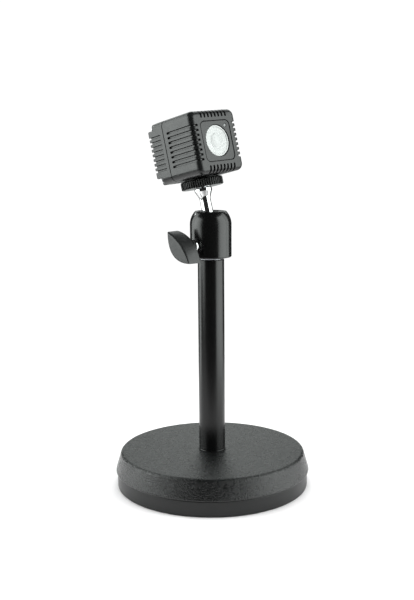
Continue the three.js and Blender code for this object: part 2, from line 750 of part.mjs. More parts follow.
function addInnards(parent) {
  const chip = box([-LED.half, -LED.half, LED.back], [LED.half, LED.half, LED.front]);
  addPart(parent, 'led_chip', facingFront(chip), matte(COLOURS.phosphor, 0.4));
  const ledBoard = disc(LED_BOARD.radius, LED_BOARD.back, LED_BOARD.front);
  addPart(parent, 'led_board', facingFront(ledBoard), matte(COLOURS.whiteBoard, 0.5));
  const spreader = prism(octagon(SPREADER.half, SPREADER.corner), SPREADER.back, SPREADER.front);
  addPart(parent, 'heat_spreader', facingFront(spreader), matte(COLOURS.aluminium, 0.4, 0.9));

  const cell = prism(outline([
    [-BATTERY.halfX, BATTERY.bottom + BATTERY.round], [-BATTERY.halfX + BATTERY.round, BATTERY.bottom],
    [BATTERY.halfX - BATTERY.round, BATTERY.bottom], [BATTERY.halfX, BATTERY.bottom + BATTERY.round],
    [BATTERY.halfX, BATTERY.top], [-BATTERY.halfX, BATTERY.top],
  ]), BATTERY.back, BATTERY.front);
  addPart(parent, 'battery_pack', facingFront(cell), matte(COLOURS.pouch, 0.4, 0.4));

  const board = prism(octagon(BOARD.half, BOARD.corner), BOARD.back, BOARD.front);
  addPart(parent, 'driver_board', facingFront(board), matte(COLOURS.circuit, 0.5));

  const rearSwitch = join(
    box([-SWITCH.half, -SWITCH.half, SWITCH.back], [SWITCH.half, SWITCH.half, BOARD.back - GAP]),
    disc(SWITCH.plungerRadius, SWITCH.plungerBack, SWITCH.back + PAST, SMALL)).translate([0, SWITCH.z, 0]);
  addPart(parent, 'power_switch', facingFront(rearSwitch), matte(COLOURS.blackPlastic, 0.4));

  const insideX = PORT.halfX - PORT.wall;
  const insideZ = PORT.halfZ - PORT.wall;
  const socket = cut(
    box([-PORT.halfX, -PORT.halfZ, PORT.back], [PORT.halfX, PORT.halfZ, BOARD.back - GAP]),
    box([-insideX, -insideZ, PORT.back - PAST], [insideX, insideZ, BOARD.back - PAST]))
    .translate([0, PORT.z, 0]);
  addPart(parent, 'charge_socket', facingFront(socket), matte(COLOURS.zinc, 0.3, 0.9));
}

function addControls(parent) {
  const button = turned([
    [0, BUTTON.back],
    [BUTTON.radius - BUTTON.chamfer, BUTTON.back],
    [BUTTON.radius, BUTTON.back + BUTTON.chamfer],
    [BUTTON.radius, BUTTON.flangeBack],
    [BUTTON.flangeRadius, BUTTON.flangeBack],
    [BUTTON.flangeRadius, BUTTON.flangeFront],
    [0, BUTTON.flangeFront],
  ]).translate([0, SWITCH.z, 0]);
  addPart(parent, 'power_button', facingFront(button), matte(COLOURS.blackPlastic, 0.6));
  const buttonSeal = hollowDisc(BUTTON_SEAL.inner, BUTTON_SEAL.outer, BUTTON_SEAL.back, BUTTON_SEAL.front)
    .translate([0, SWITCH.z, 0]);
  addPart(parent, 'button_seal', facingFront(buttonSeal), matte(COLOURS.silicone, 0.8));

  const capBody = turned([
    [0, CAP.headBack],
    [CAP.headRadius - CAP.headChamfer, CAP.headBack],
    [CAP.headRadius, CAP.headBack + CAP.headChamfer],
    [CAP.headRadius, CAP.headFront],
    [CAP.plugRadius, CAP.headFront],
    [CAP.plugRadius, CAP.plugEnd],
    [0, CAP.plugEnd],
  ]);
  const slot = box(
    [-CAP.headRadius - PAST, -CAP.slotWidth / 2, CAP.headBack - PAST],
    [CAP.headRadius + PAST, CAP.slotWidth / 2, CAP.headBack + CAP.slotDepth]);
  const portCap = cut(capBody, slot).translate([0, PORT.z, 0]);
  addPart(parent, 'port_cap', facingFront(portCap), matte(COLOURS.anodised, 0.4, 0.6));
  const capSeal = hollowDisc(CAP_SEAL.inner, CAP_SEAL.outer, CAP_SEAL.back, CAP_SEAL.front)
    .translate([0, PORT.z, 0]);
  addPart(parent, 'port_seal', facingFront(capSeal), matte(COLOURS.silicone, 0.8));
}

// ---------------------------------------------------------------- assembly

const cubeLight = new THREE.Group();

const stand = new THREE.Group();
addBase(stand);
addPole(stand);
addHousing(stand);
addClamp(stand);
cubeLight.add(stand);

const head = new THREE.Group();
head.position.z = BALL.centre;
head.rotation.set(THREE.MathUtils.degToRad(HEAD.tiltX), THREE.MathUtils.degToRad(HEAD.tiltY), 0);
addStem(head);
addLockWheel(head);
cubeLight.add(head);

const light = new THREE.Group();
light.position.z = LIGHT.centre;
addLightBody(light);
addRearCap(light);
addCaseScrews(light);
addFront(light);
addInnards(light);
addControls(light);
head.add(light);

cubeLight.updateMatrixWorld(true);

export default cubeLight;
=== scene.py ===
"""Visual model of a cube-shaped LED light on a mini ball head, a tubular pole and a weighted base.

Shapes are written in millimetres in a local place. The places come from the joints and most outer sizes
from the CAD nodes, and the finer sizes are written here.
"""
import json
import math

import bmesh
import bpy
from mathutils import Matrix, Vector


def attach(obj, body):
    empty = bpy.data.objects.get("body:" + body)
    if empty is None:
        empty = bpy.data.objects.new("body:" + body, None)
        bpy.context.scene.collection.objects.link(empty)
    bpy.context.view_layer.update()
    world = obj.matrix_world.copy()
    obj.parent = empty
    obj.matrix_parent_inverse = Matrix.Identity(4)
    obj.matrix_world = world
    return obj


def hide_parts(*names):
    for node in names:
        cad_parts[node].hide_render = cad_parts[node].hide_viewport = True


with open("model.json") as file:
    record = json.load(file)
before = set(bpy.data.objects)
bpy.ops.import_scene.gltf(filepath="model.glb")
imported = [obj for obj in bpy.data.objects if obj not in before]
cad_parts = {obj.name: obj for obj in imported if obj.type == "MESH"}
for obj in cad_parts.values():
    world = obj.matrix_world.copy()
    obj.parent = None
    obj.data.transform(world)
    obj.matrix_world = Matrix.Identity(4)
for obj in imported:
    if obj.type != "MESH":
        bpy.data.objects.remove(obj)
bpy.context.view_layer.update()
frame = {"nodes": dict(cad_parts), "record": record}

MM = 0.001
QUARTER = math.pi / 2
ON_AXIS = 1e-6
EDGE_STEPS = 6
SHARP_ANGLE = math.radians(35)

# Sizes in millimetres that more than one piece shares.
BOLT_HOLE = 5.3
CLAMP_HOLE = 2.65
CAVITY_HALF = 15.2
CAVITY_CORNER = 24.4
SCREW_OFFSET = 15.2
SCREW_BORE = 1.35


# ---------------------------------------------------------------- places

def place(origin, x_axis, y_axis, z_axis):
    """A matrix from millimetres along three axes to metres in the row frame."""
    turn = Matrix((x_axis, y_axis, z_axis)).transposed().to_4x4()
    return Matrix.Translation(origin) @ turn @ Matrix.Scale(MM, 4)


def shifted(base, x=0, y=0, z=0):
    return base @ Matrix.Translation((x, y, z))


def span(node, where):
    """Lowest and highest corner of a CAD node, in millimetres in a place."""
    inward = where.inverted()
    points = [inward @ vertex.co for vertex in frame["nodes"][node].data.vertices]
    return (
        Vector([min(p[k] for p in points) for k in range(3)]),
        Vector([max(p[k] for p in points) for k in range(3)]),
    )


joints = {joint["name"]: joint for joint in frame["record"]["behaviour"]["joints"]}

STAND = Matrix.Scale(MM, 4)

head_up = Vector(joints["light_turn"]["axis"]).normalized()
head_back = -Vector(joints["button_press"]["axis"]).normalized()
HEAD = place(joints["head_pan"]["pos_m"], head_back.cross(head_up), head_back, head_up)

# Along the clamp, Z points from the pole to the knob, and along the case, Z points to the front.
CLAMP = place(joints["knob_turn"]["pos_m"], Vector((0, 0, 1)), Vector((0, 1, 0)), Vector((-1, 0, 0)))
body_low, body_high = span("light_body", HEAD)
CASE_HEIGHT = (body_low.z + body_high.z) / 2
CASE = shifted(HEAD, z=CASE_HEIGHT) @ Matrix.Rotation(QUARTER, 4, "X")


# ---------------------------------------------------------------- outlines

def quarter_turns(steps):
    return [QUARTER * i / steps for i in range(steps + 1)]


def arc(centre_x, centre_y, radius, start, end, steps):
    """Points of an arc, angles in radians."""
    turns = [start + (end - start) * i / steps for i in range(steps + 1)]
    return [(centre_x + radius * math.cos(a), centre_y + radius * math.sin(a)) for a in turns]


def rounded(points, steps=5):
    """A path whose corners, written (x, y, radius), are replaced by arcs."""
    path = []
    for i, (x, y, *radius) in enumerate(points):
        here = Vector((x, y))
        if not radius:
            path.append((x, y))
            continue
        to_last = (Vector(points[i - 1][:2]) - here).normalized()
        to_next = (Vector(points[(i + 1) % len(points)][:2]) - here).normalized()
        half = to_last.angle(to_next) / 2
        centre = here + (to_last + to_next).normalized() * radius[0] / math.sin(half)
        first = here + to_last * radius[0] / math.tan(half) - centre
        last = here + to_next * radius[0] / math.tan(half) - centre
        start = math.atan2(first.y, first.x)
        sweep = math.remainder(math.atan2(last.y, last.x) - start, math.tau)
        path += arc(centre.x, centre.y, radius[0], start, start + sweep, steps)
    return path


def rounded_square(half, corner, steps=10):
    inner = half - corner
    path = []
    for turn, (x, y) in enumerate(((inner, inner), (-inner, inner), (-inner, -inner), (inner, -inner))):
        path += arc(x, y, corner, turn * QUARTER, (turn + 1) * QUARTER, steps)
    return path


def octagon(half, corner):
    """A square with its corners cut off where |x| + |y| reaches corner."""
    short = corner - half
    return [
        (half, -short), (half, short), (short, half), (-short, half),
        (-half, short), (-half, -short), (-short, -half), (short, -half),
    ]


def polygon(radius, count):
    return arc(0, 0, radius, 0, math.tau * (count - 1) / count, count - 1)


# ---------------------------------------------------------------- meshes

def loft(loops, where, closed=False):
    """A solid through loops of points that all have the same count."""
    bm = bmesh.new()
    rings = [[bm.verts.new(where @ Vector(point)) for point in loop] for loop in loops]
    pairs = list(zip(rings, rings[1:]))
    if closed:
        pairs.append((rings[-1], rings[0]))
    for ring, following in pairs:
        for i in range(len(ring)):
            bm.faces.new((ring[i - 1], ring[i], following[i], following[i - 1]))
    if not closed:
        bm.faces.new(rings[0])
        bm.faces.new(rings[-1])
    bmesh.ops.recalc_face_normals(bm, faces=bm.faces)
    return bm


def lathe(profile, where, segments=128, closed=True):
    """A profile of (radius, height) turned about Z. An open profile starts and ends on the axis."""
    bm = bmesh.new()
    rings = []
    for radius, height in profile:
        count = segments if radius > ON_AXIS else 1
        rings.append([
            bm.verts.new(where @ Vector((radius * math.cos(math.tau * k / segments),
                                         radius * math.sin(math.tau * k / segments), height)))
            for k in range(count)])
    pairs = list(zip(rings, rings[1:]))
    if closed:
        pairs.append((rings[-1], rings[0]))
    for ring, following in pairs:
        for k in range(segments):
            corners = [ring[k % len(ring)], ring[(k + 1) % len(ring)],
                       following[(k + 1) % len(following)], following[k % len(following)]]
            unique = list(dict.fromkeys(corners))
            if len(unique) > 2:
                bm.faces.new(unique)
    bmesh.ops.recalc_face_normals(bm, faces=bm.faces)
    return bm


def prism(outline, low, high, where):
    return loft([[(x, y, z) for x, y in outline] for z in (low, high)], where)


def merged(meshes):
    """One mesh out of several that don't touch."""
    whole = bmesh.new()
    for bm in meshes:
        scratch = bpy.data.meshes.new("scratch")
        bm.to_mesh(scratch)
        bm.free()
        whole.from_mesh(scratch)
        bpy.data.meshes.remove(scratch)
    return whole


def scratch_object(bm):
    mesh = bpy.data.meshes.new("scratch")
    bm.to_mesh(mesh)
    bm.free()
    obj = bpy.data.objects.new("scratch", mesh)
    bpy.context.scene.collection.objects.link(obj)
    return obj


def combined(blank, tool, operation):
    """Boolean of two meshes, which are used up."""
    target, cutter = scratch_object(blank), scratch_object(tool)
    modifier = target.modifiers.new("cut", "BOOLEAN")
    modifier.operation = operation
    modifier.solver = "EXACT"
    modifier.object = cutter
    evaluated = target.evaluated_get(bpy.context.evaluated_depsgraph_get())
    result = bpy.data.meshes.new_from_object(evaluated)
    bm = bmesh.new()
    bm.from_mesh(result)
    for obj in (target, cutter):
        mesh = obj.data
        bpy.data.objects.remove(obj)
        bpy.data.meshes.remove(mesh)
    bpy.data.meshes.remove(result)
    bmesh.ops.dissolve_degenerate(bm, dist=1e-7, edges=bm.edges)
    return bm


def cut(blank, *tools):
    return combined(blank, merged(tools), "DIFFERENCE")


def add_piece(name, bm, body, slot, nodes):
    """A finished piece on a body, in place of its CAD nodes."""
    mesh = bpy.data.meshes.new(name)
    bm.to_mesh(mesh)
    bm.free()
    mesh.shade_smooth()
    mesh.set_sharp_from_angle(angle=SHARP_ANGLE)
    mesh.materials.append(MATERIALS[slot])
    obj = bpy.data.objects.new(name, mesh)
    bpy.context.scene.collection.objects.link(obj)
    even = obj.modifiers.new("even_shading", "WEIGHTED_NORMAL")
    even.keep_sharp = True
    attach(obj, body)
    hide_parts(*nodes)


# ---------------------------------------------------------------- materials

def noise(nodes, links, coordinates, scale, detail=3.0):
    texture = nodes.new("ShaderNodeTexNoise")
    texture.inputs["Scale"].default_value = scale
    texture.inputs["Detail"].default_value = detail
    links.new(coordinates, texture.inputs["Vector"])
    return texture.outputs["Fac"]


def ranged(nodes, links, value, low, high):
    """Maps the middle of a noise to a range."""
    mapped = nodes.new("ShaderNodeMapRange")
    mapped.inputs["From Min"].default_value = 0.3
    mapped.inputs["From Max"].default_value = 0.7
    mapped.inputs["To Min"].default_value = low
    mapped.inputs["To Max"].default_value = high
    links.new(value, mapped.inputs["Value"])
    return mapped.outputs["Result"]


def stretched(nodes, links, coordinates, scale):
    mapping = nodes.new("ShaderNodeMapping")
    mapping.inputs["Scale"].default_value = scale
    links.new(coordinates, mapping.inputs["Vector"])
    return mapping.outputs["Vector"]


def pebble_relief(nodes, links, coordinates, scale, depth):
    """The normal of a relief of rounded, slightly warped cells."""
    smoothness, warp_scale, warp_size = 0.6, scale * 0.6, 0.6 / scale
    warp = nodes.new("ShaderNodeTexNoise")
    warp.inputs["Scale"].default_value = warp_scale
    links.new(coordinates, warp.inputs["Vector"])
    warped = nodes.new("ShaderNodeVectorMath")
    warped.operation = "MULTIPLY_ADD"
    links.new(warp.outputs["Color"], warped.inputs[0])
    warped.inputs[1].default_value = (warp_size,) * 3
    links.new(coordinates, warped.inputs[2])
    pebbles = nodes.new("ShaderNodeTexVoronoi")
    pebbles.feature = "SMOOTH_F1"
    pebbles.inputs["Scale"].default_value = scale
    pebbles.inputs["Smoothness"].default_value = smoothness
    links.new(warped.outputs["Vector"], pebbles.inputs["Vector"])
    pebbled = nodes.new("ShaderNodeBump")
    pebbled.invert = True
    pebbled.inputs["Distance"].default_value = depth
    links.new(pebbles.outputs["Distance"], pebbled.inputs["Height"])
    return pebbled.outputs["Normal"]


def finish_material(name, colour, roughness, metallic=0.0, specular=0.5, spread=0.12, patch=60,
                    uneven=0.12, grain=900, relief=0.00001, cells=None, brushed=None, coat=0.0):
    """A surface with patchy colour, uneven gloss and a fine relief.

    colour is linear. patch and grain are noise scales per metre, and relief is a depth in metres.
    cells is the scale and depth of a pebbled relief, and brushed stretches the grain along an axis.
    """
    material = bpy.data.materials.new(name)
    material.use_nodes = True
    nodes, links = material.node_tree.nodes, material.node_tree.links
    shader = nodes["Principled BSDF"]
    shader.inputs["Metallic"].default_value = metallic
    shader.inputs["Specular IOR Level"].default_value = specular
    shader.inputs["Coat Weight"].default_value = coat
    coordinates = nodes.new("ShaderNodeTexCoord").outputs["Object"]

    tones = nodes.new("ShaderNodeMix")
    tones.data_type = "RGBA"
    tones.inputs["A"].default_value = (*[c * (1 - spread) for c in colour], 1)
    tones.inputs["B"].default_value = (*[min(c * (1 + spread), 1) for c in colour], 1)
    patches = noise(nodes, links, coordinates, patch)
    links.new(ranged(nodes, links, patches, 0, 1), tones.inputs["Factor"])
    links.new(tones.outputs["Result"], shader.inputs["Base Color"])

    gloss = noise(nodes, links, coordinates, patch * 3, detail=5)
    links.new(ranged(nodes, links, gloss, roughness * (1 - uneven), roughness * (1 + uneven)),
              shader.inputs["Roughness"])

    fine = stretched(nodes, links, coordinates, brushed) if brushed else coordinates
    bump = nodes.new("ShaderNodeBump")
    bump.inputs["Strength"].default_value = 1
    bump.inputs["Distance"].default_value = relief
    links.new(noise(nodes, links, fine, grain), bump.inputs["Height"])
    if cells:
        links.new(pebble_relief(nodes, links, coordinates, *cells), bump.inputs["Normal"])
    links.new(bump.outputs["Normal"], shader.inputs["Normal"])
    return material


MATERIALS = {
    "iron": finish_material("painted_iron", (0.006, 0.0065, 0.0065), 0.27, cells=(1500, 0.00028), spread=0.2,
                            uneven=0.05),
    "rubber": finish_material("ring_rubber", (0.01, 0.0105, 0.0105), 0.38, specular=0.36, patch=40,
                              relief=0.00002),
    "zinc": finish_material("zinc_plate", (0.6, 0.61, 0.63), 0.18, metallic=1, spread=0.1, patch=300),
    "black_tube": finish_material("satin_black", (0.005, 0.005, 0.005), 0.22, specular=0.42, patch=30,
                                  uneven=0.05, relief=0.000002),
    "gloss_black": finish_material("gloss_black", (0.005, 0.005, 0.005), 0.2, patch=40, uneven=0.05,
                                   relief=0.000001),
    "chrome": finish_material("polished_chrome", (0.87, 0.88, 0.88), 0.05, metallic=1, spread=0.02,
                              relief=0.0000004),
    "brass": finish_material("turned_brass", (0.62, 0.42, 0.14), 0.3, metallic=1, brushed=(1, 1, 8)),
    "acetal": finish_material("black_acetal", (0.012, 0.012, 0.012), 0.45),
    "knob_plastic": finish_material("knob_plastic", (0.015, 0.0155, 0.0155), 0.4, grain=2500,
                                    relief=0.00003),
    "wheel_black": finish_material("wheel_anodised", (0.008, 0.008, 0.008), 0.22, relief=0.000006),
    "anodised": finish_material("blasted_anodised", (0.01, 0.0105, 0.0105), 0.3, grain=5000,
                                relief=0.000012),
    "bare_aluminium": finish_material("milled_aluminium", (0.7, 0.71, 0.72), 0.35, metallic=1,
                                      brushed=(8, 1, 1)),
    "frosted_lens": finish_material("frosted_lens", (0.56, 0.57, 0.565), 0.3, spread=0.04, patch=500,
                                    coat=0.3),
    "sensor_plastic": finish_material("sensor_plastic", (0.31, 0.32, 0.32), 0.3),
    "phosphor": finish_material("phosphor", (0.8, 0.62, 0.1), 0.5, patch=900),
    "board_white": finish_material("white_board", (0.8, 0.8, 0.77), 0.35, patch=400),
    "board_green": finish_material("green_board", (0.015, 0.1, 0.04), 0.3, patch=400),
    "pouch": finish_material("foil_pouch", (0.5, 0.52, 0.53), 0.35, metallic=1, relief=0.00006, grain=200),
    "silicone": finish_material("silicone", (0.03, 0.032, 0.032), 0.55, relief=0.00001),
}


# ---------------------------------------------------------------- base

def build_base():
    low, high = span("base_casting", STAND)
    ring_low, ring_high = span("isolation_ring", STAND)
    widest, top, foot = high.x, high.z, low.z
    skirt = ring_high.z + 0.2
    recess, ceiling, rebate, slope = 42, span("base_washer", STAND)[1].z, 54.5, 3.32
    casting = rounded([
        (BOLT_HOLE, ceiling), (recess, ceiling, 1.6), (recess, foot, 0.3), (rebate, foot, 0.3),
        (rebate, skirt, 0.2), (widest - 0.15, skirt, 0.12), (widest, skirt + 0.6, 0.5),
        (widest - slope, top, 2.1), (BOLT_HOLE, top),
    ])
    add_piece("base_casting_piece", lathe(casting, STAND, 192), "stand", "iron", ["base_casting"])

    outer, inner, lip, lip_top = ring_high.x, 54.8, 50, 1.8
    ring = rounded([
        (lip, ring_low.z, 0.3), (outer, ring_low.z, 1.0), (outer, ring_high.z, 0.6),
        (inner, ring_high.z, 0.2), (inner, lip_top, 0.3), (lip, lip_top, 0.5),
    ])
    add_piece("isolation_ring_piece", lathe(ring, STAND, 192), "stand", "rubber", ["isolation_ring"])

    low, high = span("base_washer", STAND)
    washer = rounded([
        (BOLT_HOLE, low.z, 0.2), (high.x, low.z, 0.5), (high.x, high.z, 0.2), (BOLT_HOLE, high.z, 0.2),
    ])
    add_piece("base_washer_piece", lathe(washer, STAND, 96), "stand", "zinc", ["base_washer"])

    low, high = span("base_lock_washer", STAND)
    outer, rise, slit, steps = 8.6, 0.25, 0.07, 96
    section = rounded([(BOLT_HOLE, low.z, 0.2), (outer, low.z, 0.3), (outer, high.z - rise, 0.3),
                       (BOLT_HOLE, high.z - rise, 0.2)], steps=3)
    coil = []
    for i in range(steps + 1):
        angle = slit + (math.tau - 2 * slit) * i / steps
        coil.append([(r * math.cos(angle), r * math.sin(angle), z + rise * i / steps) for r, z in section])
    add_piece("lock_washer_piece", loft(coil, STAND), "stand", "zinc", ["base_lock_washer"])

    low, high = span("pole_bolt", STAND)
    head_top, flats = span("base_lock_washer", STAND)[0].z, 16
    hexagon = prism(polygon(flats / math.sqrt(3), 6), low.z, head_top, STAND)
    face, corner = flats / 2 - 0.4, flats / 2 + 1.3
    crown = lathe(rounded([(0, low.z), (face, low.z), (corner, low.z + 0.9), (corner, head_top),
                           (0, head_top)]), STAND, 96, closed=False)
    pitch, depth, crest, start = 1.5, 0.75, 4.9, head_top + 0.4
    thread = []
    for i in range(int((high.z - 1 - head_top) / pitch)):
        thread += [(crest, start + i * pitch), (crest - depth, start + (i + 0.5) * pitch)]
    shank = lathe([(0, head_top - 0.5), (crest, head_top - 0.5), *thread, (crest - depth, high.z),
                   (0, high.z)], STAND, 48, closed=False)
    head = combined(hexagon, crown, "INTERSECT")
    add_piece("pole_bolt_piece", combined(head, shank, "UNION"), "stand", "zinc", ["pole_bolt"])


# ---------------------------------------------------------------- pole

def build_pole():
    low, high = span("pole_foot_washer", STAND)
    washer = rounded([
        (BOLT_HOLE, low.z), (high.x, low.z, 0.15), (high.x, high.z, 0.35), (BOLT_HOLE, high.z),
    ])
    add_piece("foot_washer_piece", lathe(washer, STAND), "stand", "black_tube", ["pole_foot_washer"])

    low, high = span("pole_tube", STAND)
    bore, tube_end = 6.5, high.z
    rim = tube_end - 0.5
    tube = rounded([(bore, low.z, 0.2), (high.x, low.z, 0.4), (high.x, rim, 0.5), (bore, rim, 0.2)])
    add_piece("pole_tube_piece", lathe(tube, STAND, 160), "stand", "black_tube", ["pole_tube"])

    low, high = span("pole_top_insert", STAND)
    plug, flange, flange_top, stud = 6.25, 7.2, tube_end + 0.7, 2.9
    insert = rounded([
        (0, low.z), (plug, low.z, 0.4), (plug, rim), (flange, rim, 0.15), (flange - 0.6, flange_top, 0.2),
        (stud, flange_top), (stud, high.z, 0.4), (0, high.z),
    ])
    add_piece("pole_insert_piece", lathe(insert, STAND, closed=False), "stand", "zinc", ["pole_top_insert"])


# ---------------------------------------------------------------- ball head

def build_housing():
    low, high = span("ball_housing", STAND)
    side, bore, dome, mouth, throat, sunk = high.x, 9.2, 11.7, 8, 7, 3.2
    dome_start = high.z - 8.1
    dome_end = math.asin((high.z - dome_start) / dome)
    shoulder = arc(side - dome, dome_start, dome, 0, dome_end - 0.05, 28)
    rim = (side - dome + dome * math.cos(dome_end), high.z, 0.3)
    shell = rounded([
        (bore, low.z, 0.3), (side, low.z - 0.2, 0.9), *shoulder, rim, (mouth, high.z, 0.3),
        (throat, high.z - 4.6, 0.4), (bore, high.z - 8),
    ])
    hole = lathe([(0, 9), (CLAMP_HOLE, 9), (CLAMP_HOLE, 12.3), (sunk, 12.9), (sunk, 14), (0, 14)], CLAMP, 48,
                 closed=False)
    housing = cut(lathe(shell, STAND, 160), hole)
    add_piece("ball_housing_piece", housing, "stand", "gloss_black", ["ball_housing"])

    low, high = span("knob_collar", CLAMP)
    neck, step = 3.4, high.z - 1.6
    collar = rounded([
        (CLAMP_HOLE, low.z, 0.2), (neck, low.z, 0.2), (neck, step, 0.2), (high.x, step, 0.4),
        (high.x, high.z, 0.6), (CLAMP_HOLE, high.z, 0.2),
    ])
    add_piece("knob_collar_piece", lathe(collar, CLAMP), "stand", "chrome", ["knob_collar"])


def build_stem():
    low, high = span("ball_stem", HEAD)
    ball = -low.z
    neck, waist, flare, socket, socket_floor = 3.45, 3.2, 5.25, 3.3, high.z - 4
    neck_angle = math.acos(neck / ball)
    profile = arc(0, 0, ball, -QUARTER, neck_angle - 0.05, 40)
    profile += rounded([
        profile[-1], (neck, ball * math.sin(neck_angle) + 0.3, 0.4), (waist, 17.6, 6.0), (flare, 21.9, 0.5),
        (flare, high.z, 0.3), (socket, high.z, 0.2), (socket, socket_floor), (0, socket_floor),
    ], steps=10)[1:]
    stem = lathe(profile, HEAD, 160, closed=False)
    add_piece("ball_stem_piece", stem, "ball_body", "chrome", ["ball_stem"])


def build_wheel():
    low, high = span("lock_wheel", HEAD)
    outer, root, bore, ribs, per_rib = high.x, 11.95, 3.35, 56, 10
    count = ribs * per_rib

    def ring(radius, z, ribbed):
        """A loop of the wheel, held inside the ribs where it is ribbed."""
        points = []
        for k in range(count):
            angle = math.tau * k / count
            wave = 0.5 + 0.5 * math.cos(angle * ribs)
            crest = root + (outer - root) * min(1, 1.3 * wave)
            r = min(radius, crest) if ribbed else radius
            points.append((r * math.cos(angle), r * math.sin(angle), z))
        return points

    edge, bore_edge, land = 0.9, 0.3, root - 1.2
    loops = [ring(bore, low.z + bore_edge, False), ring(bore + bore_edge, low.z, False),
             ring(land, low.z, False)]
    for turn in quarter_turns(EDGE_STEPS):
        loops.append(ring(outer - edge * (1 - math.sin(turn)), low.z + edge * (1 - math.cos(turn)), True))
    for turn in quarter_turns(EDGE_STEPS):
        loops.append(ring(outer - edge * (1 - math.cos(turn)), high.z - edge * (1 - math.sin(turn)), True))
    loops += [ring(land, high.z, False), ring(bore + bore_edge, high.z, False),
              ring(bore, high.z - bore_edge, False)]
    add_piece("lock_wheel_piece", loft(loops, HEAD, closed=True), "wheel_body", "wheel_black", ["lock_wheel"])

    low, high = span("wheel_pad", HEAD)
    bore = 3.4
    pad = rounded([(bore, low.z, 0.1), (high.x, low.z, 0.12), (high.x, high.z, 0.2), (bore, high.z, 0.15)])
    add_piece("wheel_pad_piece", lathe(pad, HEAD), "pad_body", "rubber", ["wheel_pad"])


# ---------------------------------------------------------------- clamp knob

def build_knob():
    low, high = span("clamp_knob", CLAMP)
    outer_face, inner_face, edge, hole_end = high.z, 17.3, 1.1, 21
    tip_power, lean, count = 1.96, math.radians(46.9), 96
    lean_cos, lean_sin = math.cos(lean), math.sin(lean)
    length_out, length_in, front_out, front_in, back_out, back_in = 12.8, 13.0, 2.75, 4.6, 7.0, 6.6

    def wing(z, inset, crown=1.0):
        """A loop of the wing, with crown the share of its full size."""
        inward = (outer_face - z) / (outer_face - inner_face)
        length = length_out + (length_in - length_out) * inward - inset
        back = back_out + (back_in - back_out) * inward - inset
        front = front_out + (front_in - front_out) * inward - inset
        points = []
        for k in range(count):
            angle = math.tau * k / count
            sine = math.sin(angle)
            x = length * crown * math.cos(angle)
            y = (back if sine > 0 else front) * crown * math.copysign(abs(sine) ** tip_power, sine)
            points.append((x * lean_cos - y * lean_sin, x * lean_sin + y * lean_cos, z))
        return points

    loops = [wing(outer_face, edge, 0.3), wing(outer_face, edge, 0.7)]
    for turn in quarter_turns(EDGE_STEPS):
        loops.append(wing(outer_face - edge * (1 - math.cos(turn)), edge * (1 - math.sin(turn))))
    loops += [wing(outer_face - t * (outer_face - inner_face - edge), 0) for t in (0.25, 0.5, 0.75)]
    for turn in quarter_turns(EDGE_STEPS):
        loops.append(wing(inner_face + edge * (1 - math.sin(turn)), edge * (1 - math.cos(turn))))
    body = loft(loops, CLAMP)
    boss, boss_root, sunk = 4.3, 4.9, inner_face + 0.6
    neck = lathe(rounded([(0, low.z), (boss, low.z, 0.4), (boss_root, sunk), (0, sunk)]), CLAMP, 96,
                 closed=False)
    hole = lathe([(0, low.z - 1), (CLAMP_HOLE, low.z - 1), (CLAMP_HOLE, hole_end), (0, hole_end)], CLAMP, 48,
                 closed=False)
    knob = cut(combined(body, neck, "UNION"), hole)
    add_piece("clamp_knob_piece", knob, "knob_body", "knob_plastic", ["clamp_knob"])


# ---------------------------------------------------------------- light case

def case_block(levels, outline):
    """A solid through levels of (depth, inset) of a case outline."""
    return loft([[(x, y, depth) for x, y in outline(inset)] for depth, inset in levels], CASE)


def edge_levels(face, radius, toward, steps=10):
    """Levels from a face over its rounded edge, with toward -1 for a front face and 1 for a rear face."""
    turns = quarter_turns(steps)
    return [(face + toward * radius * (1 - math.cos(t)), radius * (1 - math.sin(t))) for t in turns]


